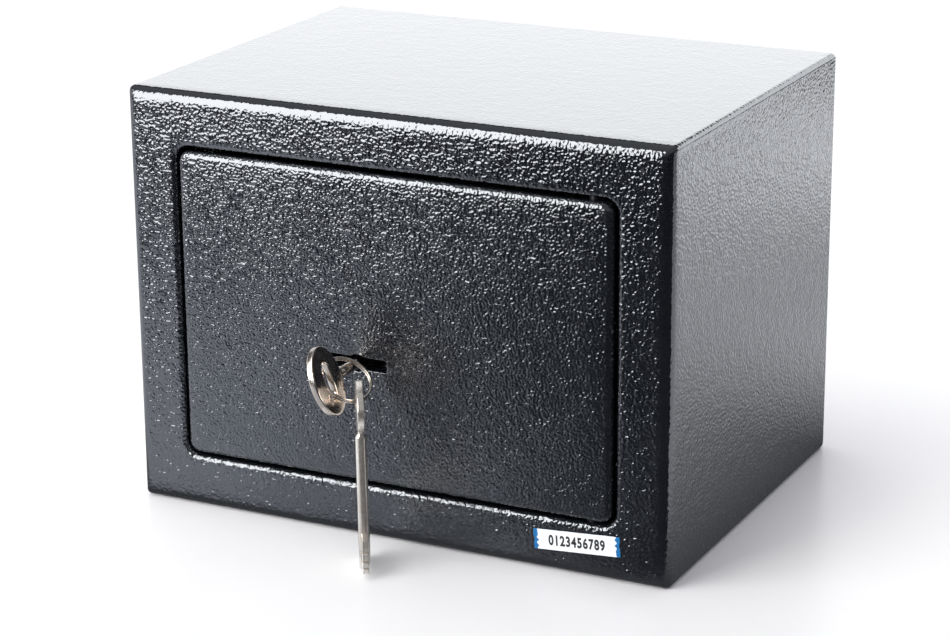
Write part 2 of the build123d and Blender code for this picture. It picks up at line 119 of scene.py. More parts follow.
@dataclass
class Shell:
    """Points and faces that build up to one closed mesh."""

    points: list[Array] = field(default_factory=list)
    faces: list[list[int]] = field(default_factory=list)
    count: int = 0

    def add_grid(self, grid: Array, close_rows: bool = False, close_columns: bool = True,
                 caps: bool = False) -> None:
        """Adds a surface given as rows of points.

        Args:
            grid: array of rows, columns and three coordinates, in metres.
            close_rows: whether the last row joins the first.
            close_columns: whether each row is a closed loop.
            caps: whether the first and last rows are filled with one flat face each.
        """
        rows, columns = grid.shape[:2]
        quads = grid_faces(rows, columns, close_rows, close_columns) + self.count
        self.faces += quads.tolist()
        if caps:
            self.faces.append(list(range(self.count, self.count + columns))[::-1])
            self.faces.append(list(range(self.count + (rows - 1) * columns,
                                         self.count + rows * columns)))
        self.points.append(grid.reshape(-1, 3))
        self.count += rows * columns

    def add_plate(self, front: Array, thickness: Array) -> None:
        """Adds a thin plate: a grid, its copy moved by thickness, and the wall round their rim.

        Args:
            front: grid of points of the front surface.
            thickness: vector from the front surface to the back one.
        """
        loop = np.concatenate([front[0, :-1], front[:-1, -1], front[-1, :0:-1], front[:0:-1, 0]])
        self.add_grid(front, close_columns=False)
        self.add_grid(front + thickness, close_columns=False)
        self.add_grid(np.stack([loop, loop + thickness]))

    def build(self, name: str, body: Body, slot: Slot, crease: float = 32.0) -> bpy.types.Object:
        """Makes the object, joins its seams, turns its faces outwards and rides it on its body.

        Args:
            name: the piece's name.
            body: the body that it moves with.
            slot: the record's slot of its finish; not used.
            crease: angle in degrees above which an edge stays sharp.

        Returns:
            The finished object, at the origin.
        """
        mesh = bpy.data.meshes.new(name)
        mesh.from_pydata(np.concatenate(self.points), [], self.faces)
        work = bmesh.new()
        work.from_mesh(mesh)
        bmesh.ops.remove_doubles(work, verts=work.verts, dist=MERGE_DISTANCE)
        bmesh.ops.dissolve_degenerate(work, edges=work.edges, dist=SHORTEST_EDGE)
        bmesh.ops.recalc_face_normals(work, faces=work.faces)
        work.to_mesh(mesh)
        work.free()
        mesh.polygons.foreach_set("use_smooth", np.ones(len(mesh.polygons), bool))
        mesh.set_sharp_from_angle(angle=radians(crease))
        obj = bpy.data.objects.new(name, mesh)
        bpy.context.scene.collection.objects.link(obj)
        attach(obj, body.value)
        log.info("%s: %d faces on %s", name, len(mesh.polygons), body.value)
        return obj


def arc(radius: float, start: float, end: float, steps: int) -> Array:
    """Points of a circular arc round the origin, cosine and sine of evenly spaced angles.

    Args:
        radius: the arc's radius.
        start: first angle in degrees.
        end: last angle in degrees.
        steps: number of spans.

    Returns:
        The points, one to a line.
    """
    turn = np.radians(np.linspace(start, end, steps + 1))
    return radius * np.stack([np.cos(turn), np.sin(turn)], axis=1)


def rounded_loops(half: Array, radius: Array, corner_steps: int, side_steps: int) -> Array:
    """Rounded rectangles with matching points: a quarter circle at each corner, straight between.

    Args:
        half: half width and half height of each loop.
        radius: corner radius of each loop.
        corner_steps: spans in each corner.
        side_steps: points along each side, between its corners.

    Returns:
        For each loop, its points in order.
    """
    quarters = []
    for turn, sign in enumerate(((1, 1), (-1, 1), (-1, -1), (1, -1))):
        bend = arc(1.0, 90.0 * turn, 90.0 * turn + 90.0, corner_steps)
        centre = (half - radius[:, None]) * np.array(sign)
        quarters.append(centre[:, None, :] + radius[:, None, None] * bend[None])
    share = np.linspace(0, 1, side_steps + 2)[1:-1][None, :, None]
    pieces = []
    for here, following in zip(quarters, quarters[1:] + quarters[:1]):
        pieces += [here, here[:, -1:] * (1 - share) + following[:, :1] * share]
    return np.concatenate(pieces, axis=1)


def rounded_box_distance(points: Array, half: Sequence[float], radius: float) -> Array:
    """Signed distance of points to a rounded rectangle round the origin, negative inside it.

    It is the length of how far a point lies past the corner's centre, less the radius, and
    inside the rectangle of those centres the larger of the two coordinates' distances.

    Args:
        points: the points, with x and y last.
        half: half width and half height.
        radius: corner radius.

    Returns:
        The distance of each point.
    """
    over = np.abs(points) - np.array(half) + radius
    return (np.linalg.norm(np.maximum(over, 0), axis=-1)
            + np.minimum(over.max(axis=-1), 0) - radius)


def reach(angles: Array, distance: Callable[[Array], Array], limit: float) -> Array:
    """How far an outline lies from the origin in each direction, by halving the interval.

    Args:
        angles: directions in radians.
        distance: signed distance to the outline, negative at the origin.
        limit: a radius that is outside the outline in every direction.

    Returns:
        The radius at which each ray crosses the outline.
    """
    rays = np.stack([np.cos(angles), np.sin(angles)], axis=1)
    low, high = np.zeros_like(angles), np.full_like(angles, limit)
    for _ in range(HALVINGS):
        middle = (low + high) / 2
        inside = distance(rays * middle[:, None]) < 0
        low, high = np.where(inside, middle, low), np.where(inside, high, middle)
    return (low + high) / 2


@dataclass(frozen=True)
class Frame:
    """A piece's own axes in the row frame, with the origin in millimetres."""

    origin: tuple[float, float, float]
    across: tuple[float, float, float]
    along: tuple[float, float, float]
    off: tuple[float, float, float]

    def place(self, points: Array) -> Array:
        """Points given in the piece's own millimetres, moved into the row frame in metres."""
        axes = np.array([self.across, self.along, self.off])
        return (np.array(self.origin) + points @ axes) * MM


DOORWAY = Frame((0.0, FRONT_Y, MIDDLE_Z), (1, 0, 0), (0, 0, 1), (0, 1, 0))


# ---------------------------------------------------------------- finishes


class Ramp(NamedTuple):
    """Straight change of a value: low up to start, high from end on."""

    low: float
    high: float
    start: float
    end: float


class Graph:
    """Shader nodes of a material or of the world, written in few words."""

    def __init__(self, owner: Material | bpy.types.World, coordinates: str = "Object") -> None:
        """Clears the owner's nodes and adds the coordinates that its patterns are laid on.

        Args:
            owner: the material or world.
            coordinates: the output of the Texture Coordinate node to read.
        """
        owner.use_nodes = True
        self.owner = owner
        self.tree = owner.node_tree
        self.tree.nodes.clear()
        self.place = self.node("TexCoord", {}).outputs[coordinates]

    def node(self, kind: str, inputs: dict[str | int, Any], **settings: object) -> bpy.types.Node:
        """Adds a shader node.

        Args:
            kind: the node's type without its ShaderNode prefix.
            inputs: values or sockets by the input's name or number.
            settings: the node's own properties.

        Returns:
            The node.
        """
        node = self.tree.nodes.new("ShaderNode" + kind)
        for key, value in settings.items():
            setattr(node, key, value)
        for key, value in inputs.items():
            if isinstance(value, bpy.types.NodeSocket):
                self.tree.links.new(value, node.inputs[key])
            else:
                node.inputs[key].default_value = value
        return node

    def coordinate(self, axis: str) -> Socket:
        """The place's X, Y or Z."""
        return self.node("SeparateXYZ", {0: self.place}).outputs[axis]

    def noise(self, size: float, detail: float = 2.0, roughness: float = 0.5,
              stretch: tuple[float, float, float] = (1, 1, 1), warp: float = 0.0) -> Socket:
        """Cloudy noise.

        Args:
            size: size of its features in metres.
            detail: how many finer layers it has.
            roughness: how strong the finer layers are.
            stretch: factor on each coordinate, under 1 where features are drawn out.
            warp: how far the noise distorts itself.

        Returns:
            The noise, around 0.5.
        """
        where = self.place
        if stretch != (1, 1, 1):
            where = self.node("Mapping", {"Vector": where, "Scale": stretch}).outputs["Vector"]
        return self.node("TexNoise", {"Vector": where, "Scale": 1 / size, "Detail": detail,
                                      "Roughness": roughness, "Distortion": warp}).outputs["Fac"]

    def spread(self, value: Socket, low: float, high: float, start: float = 0.3,
               end: float = 0.7) -> Socket:
        """Stretches a value from the range start to end onto low to high, and holds it beyond."""
        return self.node("MapRange", {"Value": value, "From Min": start, "From Max": end,
                                      "To Min": low, "To Max": high}).outputs["Result"]

    def blend(self, value: Socket, first: Colour, second: Colour) -> Socket:
        """Colour that goes from first to second as value goes from 0 to 1."""
        node = self.node("Mix", {0: value, 6: (*first, 1), 7: (*second, 1)}, data_type="RGBA")
        return node.outputs[2]

    def math(self, operation: str, *values: Socket | float) -> Socket:
        """Result of a math node on sockets or numbers."""
        return self.node("Math", dict(enumerate(values)), operation=operation).outputs[0]

    def emission(self, colour: Colour, strength: Socket) -> Socket:
        """Shader that shines in a colour, where a strength of 1 is white."""
        return self.node("Emission", {"Color": (*colour, 1), "Strength": strength}).outputs[0]

    def mixed(self, share: Socket | float, first: Socket, second: Socket) -> Socket:
        """Shader that goes from first to second as share goes from 0 to 1."""
        return self.node("MixShader", {0: share, 1: first, 2: second}).outputs[0]

    def bump(self, height: Socket, depth: float, under: Socket | None = None,
             strength: Socket | float = 1.0) -> Socket:
        """Bump from a height.

        Args:
            height: the pattern, from 0 to 1.
            depth: how far 1 stands over 0, in metres.
            under: the bump that this one lies on, if any.
            strength: how much of it shows.

        Returns:
            The bent normal.
        """
        inputs = {"Height": height, "Distance": depth, "Strength": strength}
        if under is not None:
            inputs["Normal"] = under
        return self.node("Bump", inputs).outputs["Normal"]

    def finish(self, **inputs: object) -> Material:
        """Ends the material in a Principled shader; an input's spaces are written as underscores."""
        named = {key.replace("_", " "): value for key, value in inputs.items()}
        shader = self.node("BsdfPrincipled", named)
        self.node("OutputMaterial", {"Surface": shader.outputs["BSDF"]})
        return self.owner


@dataclass(frozen=True)
class HammerPaint:
    """Glossy powder coat whose skin sets in small hammered dimples."""

    name: str = "hammer_paint_finish"
    tint: Colour = (0.0052, 0.0058, 0.0080)
    tint_light: Colour = (0.0076, 0.0084, 0.0112)
    dimple: float = 0.0011
    relief: float = 0.00033
    swell_width: float = 5.0
    swell_depth: float = 0.8
    peel_fineness: float = 2.7
    peel_depth: float = 0.06
    gloss: tuple[float, float] = (0.035, 0.065)
    cloud: float = 0.021
    patch: float = 0.006
    index: float = 2.2
    shine: Colour = (0.92, 0.955, 1.0)
    side_zone: Ramp = Ramp(0.0, 1.0, 0.1100, 0.1130)
    front_zone: Ramp = Ramp(1.0, 0.0, -0.0845, -0.0805)
    top_zone: Ramp = Ramp(0.0, 1.0, 0.1655, 0.1685)
    low_zone: Ramp = Ramp(1.2, 1.0, 0.045, 0.095)
    smoothing: float = 0.74

    def levelling(self, g: Graph) -> Socket:
        """How far the dimples stand out: more low down, less on the top and the front's side edges.

        The edges are where the ramps of the side and the front overlap, by their product. The
        larger of that and the top's ramp, times the smoothing, is taken from the low ramp.

        Args:
            g: the paint's nodes.

        Returns:
            The factor on the dimples' depth.
        """
        side = g.spread(g.math("ABSOLUTE", g.coordinate("X")), *self.side_zone)
        front = g.spread(g.coordinate("Y"), *self.front_zone)
        top = g.spread(g.coordinate("Z"), *self.top_zone)
        smooth = g.math("MAXIMUM", g.math("MULTIPLY", side, front), top)
        low = g.spread(g.coordinate("Z"), *self.low_zone)
        return g.math("MULTIPLY_ADD", smooth, -self.smoothing, low)

    def material(self) -> Material:
        """Rounded noise dimples over a wider swell, with a fine orange peel between them."""
        g = Graph(bpy.data.materials.new(self.name))
        level = self.levelling(g)
        swell = g.bump(g.noise(self.dimple * self.swell_width, 1.0),
                       self.relief * self.swell_depth, None, level)
        hammered = g.bump(g.noise(self.dimple, 0.6, 0.4), self.relief, swell, level)
        peel = g.bump(g.noise(self.dimple / self.peel_fineness, 1.0),
                      self.relief * self.peel_depth, hammered, level)
        cloud = g.spread(g.noise(self.cloud, 3.0), 0, 1)
        return g.finish(Base_Color=g.blend(cloud, self.tint, self.tint_light),
                        Roughness=g.spread(g.noise(self.patch, 3.0), *self.gloss),
                        IOR=self.index, Specular_Tint=(*self.shine, 1), Normal=peel)


@dataclass(frozen=True)
class PlatedMetal:
    """Bright plating or bare metal, with fine draw marks and a slightly uneven shine."""

    name: str
    tone: Colour
    shade: Colour
    gloss: tuple[float, float]
    marks: float = 0.00022
    mark_depth: float = 0.0000035
    grain: tuple[float, float, float] = (1, 1, 0.08)
    metal: float = 1.0
    cloud: float = 0.0045
    dent: float = 0.0021
    dent_depth: float = 2.2
    patch: float = 0.0032

    def material(self) -> Material:
        """Two tones by cloudy noise, drawn-out marks as bump and a patchy roughness."""
        g = Graph(bpy.data.materials.new(self.name))
        cloud = g.spread(g.noise(self.cloud, 3.0, 0.6), 0, 1)
        marks = g.noise(self.marks, 2.0, 0.6, self.grain)
        dents = g.bump(g.noise(self.dent, 2.0), self.mark_depth * self.dent_depth)
        return g.finish(Base_Color=g.blend(cloud, self.tone, self.shade), Metallic=self.metal,
                        Roughness=g.spread(g.noise(self.patch, 3.0), *self.gloss),
                        Normal=g.bump(marks, self.mark_depth, dents))


@dataclass(frozen=True)
class Felt:
    """Needled felt: matt fibres that stand up a little and catch light at the rim."""

    name: str = "felt_finish"
    tone: Colour = (0.020, 0.021, 0.023)
    shade: Colour = (0.040, 0.041, 0.045)
    fibre: float = 0.00045
    fibre_depth: float = 0.00016
    nap: tuple[float, float, float] = (1, 0.35, 1)
    tuft: float = 0.0026
    tuft_depth: float = 0.00022

    def material(self) -> Material:
        """Fibres as fine stretched noise over coarser tufts."""
        g = Graph(bpy.data.materials.new(self.name))
        fibres = g.noise(self.fibre, 4.0, 0.7, self.nap, 0.6)
        tufts = g.bump(g.noise(self.tuft, 3.0), self.tuft_depth)
        return g.finish(Base_Color=g.blend(g.spread(fibres, 0, 1), self.tone, self.shade),
                        Roughness=0.95, Sheen_Weight=0.5, Sheen_Roughness=0.45,
                        Normal=g.bump(fibres, self.fibre_depth, tufts))


@dataclass(frozen=True)
class Printed:
    """Paper, film or ink of a small label: nearly flat, with a faint fibre."""

    name: str
    tone: Colour
    shade: Colour
    gloss: tuple[float, float]
    fibre: float = 0.0006
    fibre_depth: float = 0.000008
    lay: tuple[float, float, float] = (0.3, 1, 1)
    patch: float = 0.003
    index: float = 1.46

    def material(self) -> Material:
        """Faint fibre in colour and surface."""
        g = Graph(bpy.data.materials.new(self.name))
        fibre = g.noise(self.fibre, 3.0, 0.6, self.lay)
        return g.finish(Base_Color=g.blend(g.spread(fibre, 0, 1), self.tone, self.shade),
                        Roughness=g.spread(g.noise(self.patch, 2.0), *self.gloss),
                        IOR=self.index, Normal=g.bump(fibre, self.fibre_depth))


class Finish(Protocol):
    """Anything that makes a material."""

    def material(self) -> Material:
        """Makes the material."""


def made(finish: Finish) -> Any:
    """Dataclass field whose value is the finish's material, made when its owner is."""
    return field(default_factory=finish.material)


@dataclass
class Finishes:
    """Every material of the safe, made once."""

    paint: Material = made(HammerPaint())
    door_paint: Material = made(HammerPaint("hammer_paint_door_finish", dimple=0.00105,
                                            relief=0.00030))
    wrap_paint: Material = made(HammerPaint("hammer_paint_wrap_finish", dimple=0.0012,
                                            relief=0.00036))
    felt: Material = made(Felt())
    zinc: Material = made(PlatedMetal(
        "zinc_finish", (0.52, 0.53, 0.54), (0.46, 0.45, 0.41), (0.26, 0.42),
        marks=0.0008, mark_depth=0.000008, grain=(1, 1, 1)))
    # near-black steel that is partly painted shade: the hinge parts show in the door's gap, where shade
    # falls
    black_steel_gap_shade: Material = made(PlatedMetal(
        "black_steel_gap_shade_finish", (0.060, 0.060, 0.062), (0.040, 0.040, 0.044), (0.34, 0.5),
        marks=0.0008, mark_depth=0.000008, grain=(1, 1, 1)))
    steel: Material = made(PlatedMetal(
        "bright_steel_finish", (0.60, 0.60, 0.61), (0.50, 0.50, 0.51), (0.16, 0.28),
        marks=0.00030, mark_depth=0.000006, grain=(1, 0.05, 0.05)))
    brass: Material = made(PlatedMetal(
        "brass_finish", (0.78, 0.56, 0.24), (0.68, 0.46, 0.18), (0.20, 0.34)))
    # the nickel's brownish second tone, in random cloudy patches, is partly a patina and partly a
    # painted reflection of a warm surrounding
    nickel: Material = made(PlatedMetal(
        "nickel_finish", (0.90, 0.84, 0.78), (0.74, 0.64, 0.55), (0.12, 0.22)))
    satin_nickel: Material = made(PlatedMetal(
        "satin_nickel_finish", (0.90, 0.86, 0.80), (0.80, 0.73, 0.65), (0.14, 0.24), metal=0.87))
    paper: Material = made(Printed(
        "label_paper_finish", (0.80, 0.84, 0.85), (0.76, 0.80, 0.82), (0.38, 0.50)))
    film: Material = made(Printed(
        "label_film_finish", (0.002, 0.145, 0.38), (0.001, 0.12, 0.33), (0.35, 0.45)))
    ink: Material = made(Printed(
        "label_ink_finish", (0.020, 0.019, 0.020), (0.028, 0.027, 0.028), (0.4, 0.5)))


def coat(obj: bpy.types.Object, material: Material) -> None:
    """Puts one material on an object, in place of what it had."""
    if not obj.material_slots:
        obj.data.materials.append(material)
    for slot in obj.material_slots:
        slot.material = material


# ---------------------------------------------------------------- cabinet and door


@dataclass
class Cabinet:
    """Painted steel box: pressed front, wrap and back, with a felt mat inside."""

    finishes: Finishes
    half: tuple[float, float] = (115.0, 85.0)
    sheet: float = 1.2
    corner: float = 2.0
    mitre: float = 1.5
    edge: float = 4.6
    skirt: float = 10.0
    border: float = 21.6
    opening_corner: float = 6.0
    lip: float = 2.3
    flange: float = 14.0
    bend_steps: int = 8
    corner_steps: int = 14
    side_steps: int = 24

    def front_profile(self) -> Array:
        """Section of the pressed front, from the skirt over the face to the flange and back inside.

        The outside is a straight skirt, a quarter circle, the face, a quarter circle and the
        flange. The inside repeats it one sheet thickness further in.

        Returns:
            Inset from the cabinet's outline, depth and corner radius of each point.
        """
        rows: list[list[float]] = []
        for skin in (0.0, self.sheet):
            edge, lip = self.edge - skin, self.lip - skin
            turn = arc(edge, 180, 270, self.bend_steps)
            roll = arc(lip, 270, 360, self.bend_steps)
            outer = [[self.edge + x, self.edge + y,
                      max(self.corner - self.edge - x, self.mitre - skin / 4)] for x, y in turn]
            start = self.border - self.lip
            inner = [[start + x, self.lip + y, self.opening_corner + self.lip - x]
                     for x, y in roll]
            side = [[skin, self.skirt, self.corner - skin]]
            end = [[self.border - skin, self.flange, self.opening_corner + skin]]
            share = np.linspace(0, 1, self.bend_steps)[1:-1, None]
            face = (np.array(outer[-1]) * (1 - share) + np.array(inner[0]) * share).tolist()
            skin_rows = side + outer + face + inner + end
            rows += skin_rows if skin == 0 else skin_rows[::-1]
        return np.array(rows)

    def build(self) -> None:
        """Makes the pressed front and dresses the nodes that stay."""
        inset, depth, radius = self.front_profile().T
        loops = rounded_loops(np.array(self.half) - inset[:, None], radius, self.corner_steps,
                              self.side_steps)
        depths = np.broadcast_to(depth[:, None, None], (*loops.shape[:2], 1))
        shell = Shell()
        shell.add_grid(DOORWAY.place(np.concatenate([loops, depths], axis=2)), close_rows=True)
        front = shell.build("front_pressing", Body.CABINET, Slot.PAINT)
        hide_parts("front_frame")
        coat(front, self.finishes.paint)
        for node in ("cabinet_wrap", "back_panel"):
            coat(frame["nodes"][node], self.finishes.wrap_paint)
        coat(frame["nodes"]["floor_mat"], self.finishes.felt)
        # hinge parts in near-black steel, partly painted shade in the door's gap
        for node in ("hinge_brackets", "hinge_pins"):
            coat(frame["nodes"][node], self.finishes.black_steel_gap_shade)


@dataclass
class Door:
    """Plate door with its keyhole, and the painted cover over the lock.

    Half and slot are half sizes. Spokes are the directions that the plate's mesh is drawn in,
    with a spread in degrees and a number for the closer ones.
    """

    finishes: Finishes
    half: tuple[float, float] = (91.9, 61.9)
    corner: float = 4.5
    edge: float = 2.5
    proud: float = 0.8
    thickness: float = 3.0
    keyhole: tuple[float, float] = (KEYHOLE[0], KEYHOLE[1] - MIDDLE_Z)
    slot: tuple[float, float] = (12.9, 2.4)
    slot_corner: float = 1.0
    bore: float = 3.4
    lip: float = 0.5
    spokes: int = 300
    corner_spokes: tuple[float, int] = (5.0, 56)
    end_spokes: tuple[float, int] = (17.0, 60)
    face_shares: tuple[float, ...] = (0.1, 0.35, 0.7, 0.92)
    hole_limit: float = 60.0
    rim_limit: float = 300.0
    screws: tuple[tuple[float, float], ...] = ((-69.4, 36.1), (-69.4, 133.9),
                                               (62.9, 36.1), (62.9, 133.9))
    screw_radius: float = 4.0
    screw_height: float = 2.2
    screw_rim: float = 0.35
    screw_y: float = -42.3
    recess_arm: float = 0.55
    recess_radius: float = 2.6
    recess_depth: float = 1.1

    def angles(self) -> Array:
        """Directions from the keyhole, closer together towards the door's corners and slot ends.

        Returns:
            The directions in radians, in rising order.
        """
        corners = np.array([[sx * self.half[0], sz * self.half[1]]
                            for sx in (-1, 1) for sz in (-1, 1)]) - np.array(self.keyhole)
        fine, ends = (np.radians(np.linspace(-wide, wide, count))
                      for wide, count in (self.corner_spokes, self.end_spokes))
        middles = np.arctan2(corners[:, 1], corners[:, 0])
        turns = [np.linspace(0, 2 * pi, self.spokes, endpoint=False)]
        turns += [middle + fine for middle in middles] + [ends, ends + pi]
        return np.unique(np.round(np.mod(np.concatenate(turns), 2 * pi), 6))

    def plate(self) -> Array:
        """Loops of the plate, from the keyhole's wall over the face, round the rim to the back.

        Each loop is an outline in polar form about the keyhole: near it, the slot joined with
        its bore, and at the rim, the door's rounded rectangle. The face is a straight blend of
        the two, and lip and rim are quarter circles.

        Returns:
            Rows of points in the row frame, in metres.
        """
        turns = self.angles()
        rays = np.stack([np.cos(turns), np.sin(turns)], axis=1)
        shift = np.array(self.keyhole)

        def hole(growth: float) -> Array:
            """Radius of the keyhole grown by growth."""
            size = (self.slot[0] + growth, self.slot[1] + growth)
            box = reach(turns, lambda p: rounded_box_distance(p, size, self.slot_corner + growth),
                        self.hole_limit)
            return np.maximum(box, self.bore + growth)

        def rim(inset: float) -> Array:
            """Radius of the door's outline, moved in by inset."""
            size = (self.half[0] - inset, self.half[1] - inset)
            return reach(turns, lambda p: rounded_box_distance(p + shift, size,
                                                               self.corner - inset),
                         self.rim_limit)

        front, back = -self.proud, self.thickness - self.proud
        loops = [(hole(0.0), back)]
        loops += [(hole(self.lip + x), front + self.lip - y)
                  for x, y in arc(self.lip, 180, 90, 5)]
        inner, outer = loops[-1][0], rim(self.edge)
        loops += [(inner + (outer - inner) * share, front) for share in self.face_shares]
        loops += [(rim(self.edge - x), front + self.edge - y)
                  for x, y in arc(self.edge, 90, 0, 9)]
        loops += [(rim(0.0), back)]
        rows = [np.column_stack([rays * radius[:, None] + shift, np.full(len(turns), depth)])
                for radius, depth in loops]
        return DOORWAY.place(np.array(rows))

    def screw_head(self, centre: tuple[float, float]) -> Array:
        """Pan head with a cross recess, as height over polar coordinates.

        The head is a quarter ellipse on a low straight rim. The recess is two crossed troughs
        that are deepest in the middle and die out at about two thirds of the radius.

        Args:
            centre: x and z of the screw, in millimetres.

        Returns:
            Rows of points from the rim inwards, in metres.
        """
        share = np.concatenate([[1.0, 1.0], np.cos(np.linspace(0, pi / 2, 26))])[:, None]
        turn = np.linspace(0, 2 * pi, 96, endpoint=False)[None, :]
        radius = self.screw_radius * share
        x, z = radius * np.cos(turn), radius * np.sin(turn)
        rise = np.sqrt(np.clip(1 - share**2, 0, 1))
        dome = self.screw_height * (self.screw_rim + (1 - self.screw_rim) * rise)
        arm = np.minimum(np.abs(x), np.abs(z))
        trough = (np.clip(1 - (arm / self.recess_arm) ** 4, 0, 1)
                  * np.clip(1 - (radius / self.recess_radius) ** 3, 0, 1))
        height = dome - self.recess_depth * trough
        height[0] = 0.0
        points = np.stack([centre[0] + x, self.screw_y + height, centre[1] + z], axis=2)
        return points * MM

    def build(self) -> None:
        """Makes the plate and the screws, and dresses the nodes that stay."""
        shell = Shell()
        shell.add_grid(self.plate(), close_rows=True)
        leaf = shell.build("door_leaf", Body.DOOR, Slot.PAINT)
        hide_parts("door_plate")
        coat(leaf, self.finishes.door_paint)
        heads = Shell()
        for centre in self.screws:
            heads.add_grid(self.screw_head(centre), caps=True)
        screws = heads.build("cover_screw_heads", Body.DOOR, Slot.ZINC, 40.0)
        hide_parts("cover_screws")
        coat(screws, self.finishes.zinc)
        paint = ("door_cover", "key_guide", "hinge_lugs")
        zinc = ("lock_standoffs", "lock_case", "lock_cover", "lock_screws", "lever_post",
                "cover_posts", "bolt_guide", "bolt_carriage", "bolt_stump", "bolt_screws")
        steel = ("lower_bolt", "upper_bolt")
        brass = tuple(f"lever_{n}" for n in range(1, 6))
        for nodes, material in ((paint, self.finishes.door_paint), (zinc, self.finishes.zinc),
                                (steel, self.finishes.steel), (brass, self.finishes.brass)):
            for node in nodes:
                coat(frame["nodes"][node], material)


# ---------------------------------------------------------------- keys


@dataclass
class SafeKey:
    """Double-bitted key: oval bow with a slot, waisted neck, round shaft and stepped bits.

    The bow is two half axes and half a thickness, and the slot is half its straight stretch and
    half its width. The bolt bit is half a width and its two ends, and the lever bits are half
    widths, one to each lever.
    """

    name: str
    node: str
    body: Body
    axes: Frame
    bow: tuple[float, float, float] = (13.6, 9.7, 1.4)
    slot: tuple[float, float] = (4.6, 2.6)
    rim: float = 0.55
    reach: float = 62.9
    shaft: float = 2.15
    tip: float = 0.55
    bit_half: float = 1.25
    bit_power: float = 16.0
    bit_ease: float = 0.14
    bit_gap: float = 0.02
    bolt_bit: tuple[float, float, float] = (12.1, 24.6, 28.05)
    lever_bits: tuple[float, ...] = (9.6, 11.2, 8.9, 10.4, 11.6)
    lever_pitch: float = 1.9
    standoff: float = KEY_STANDOFF

    def bow_rows(self) -> Array:
        """Bow as a ring: a rounded bar section carried round between the slot and the oval.

        A point of the section lies some way from the slot's outline towards the oval, and above
        or below the middle plane. The four edges of the bar are quarter circles.

        Returns:
            Rows of points, one row for each point of the section, in metres.
        """
        turn = np.linspace(0, 2 * pi, 192, endpoint=False)
        outer = np.stack([self.bow[0] * np.cos(turn), self.bow[1] * np.sin(turn)], axis=1)
        flat, width = self.slot
        inner = np.stack([width * np.cos(turn) + flat * np.tanh(4 * np.cos(turn)),
                          width * np.sin(turn)], axis=1)
        span = outer - inner
        length = np.linalg.norm(span, axis=1, keepdims=True)
        unit = span / length
        half = self.bow[2]
        quarter = arc(self.rim, 0, 90, 6)
        rows = []
        for sign in (1, -1):
            far = [(length - self.rim + x, sign * (half - self.rim + y)) for x, y in quarter]
            near = [(self.rim - x, sign * (half - self.rim + y)) for x, y in quarter]
            flats = [(length * share, sign * half) for share in (0.75, 0.5, 0.25)]
            skin = far + flats + near[::-1]
            rows += skin if sign == 1 else skin[::-1]
        return np.array([np.column_stack([inner + unit * run, np.full(len(turn), rise)])
                         for run, rise in rows])

    def section(self, half_width: Array, half_height: Array, power: Array) -> Array:
        """Superellipse sections: each axis is its half size times a power of cosine or sine.

        Args:
            half_width: half width of each section.
            half_height: half height of each section.
            power: 2 for an ellipse, more for squarer corners.

        Returns:
            For each section, its points in order.
        """
        turn = np.linspace(0, 2 * pi, 64, endpoint=False)[None, :]
        bend = 2.0 / power[:, None]
        x = half_width[:, None] * np.sign(np.cos(turn)) * np.abs(np.cos(turn)) ** bend
        z = half_height[:, None] * np.sign(np.sin(turn)) * np.abs(np.sin(turn)) ** bend
        return np.stack([x, z], axis=2)

    def carry(self, stations: Array) -> Array:
        """Carries the sections along the key.

        Args:
            stations: for each section, its place, half width, half height and power.

        Returns:
            Rows of points in the key's own millimetres.
        """
        place, half_width, half_height, power = stations.T
        loops = self.section(half_width, half_height, power)
        along = np.broadcast_to(place[:, None], loops.shape[:2])
        return np.stack([loops[..., 0], along, loops[..., 1]], axis=2)

    def shaft_rows(self) -> Array:
        """Neck and shaft: flat at the bow, waisted, then a cone up to the round shaft.

        The sections between the marks follow straight lines, and the tip's edge is a quarter
        circle. Each mark is a place, half width, half height and power.

        Returns:
            Rows of points in the key's own millimetres.
        """
        start = self.tip - self.reach
        marks = np.array([[-6.6, 4.6, 1.16, 5.0], [-8.2, 3.9, 1.16, 4.4], [-9.2, 2.7, 1.14, 3.4],
                          [-9.9, 2.0, 1.13, 2.6], [-10.4, 1.9, 1.22, 2.2], [-11.7, 2.10, 2.05, 2],
                          [-12.1, self.shaft, self.shaft, 2.0],
                          [start, self.shaft, self.shaft, 2.0]])
        place = np.concatenate([np.linspace(marks[0, 0], marks[-2, 0], 40),
                                np.linspace(-13, start, 12)])
        order = marks[::-1]
        body = np.column_stack([place] + [np.interp(place, order[:, 0], order[:, k])
                                          for k in (1, 2, 3)])
        edge = arc(self.tip, 0, 90, 6)[1:]
        radius = self.shaft - self.tip + edge[:, 0]
        end = np.column_stack([start - edge[:, 1], radius, radius, np.full(len(edge), 2.0)])
        return self.carry(np.vstack([body, end]))

    def bit_rows(self) -> Array:
        """Both bits in one: a rounded bar whose width steps at each lever's cut.

        Each cut is a width between two places, and its ends are eased by a small slope.

        Returns:
            Rows of points in the key's own millimetres.
        """
        start = self.bolt_bit[2]
        cuts = [self.bolt_bit]
        cuts += [(width, start + n * self.lever_pitch, start + (n + 1) * self.lever_pitch)
                 for n, width in enumerate(self.lever_bits)]
        ease, gap = self.bit_ease, self.bit_gap
        rows = []
        for width, near, far in cuts:
            first, last = near == cuts[0][1], far == cuts[-1][2]
            rows += [[near + (0.0 if first else gap), width - ease],
                     [near + ease, width], [far - ease, width],
                     [far - (0.0 if last else gap), width - ease]]
        table = np.array(rows)
        thick = np.full(len(table), self.bit_half)
        thick[[0, -1]] -= ease
        return self.carry(np.column_stack([-self.standoff - table[:, 0], table[:, 1], thick,
                                           np.full(len(table), self.bit_power)]))

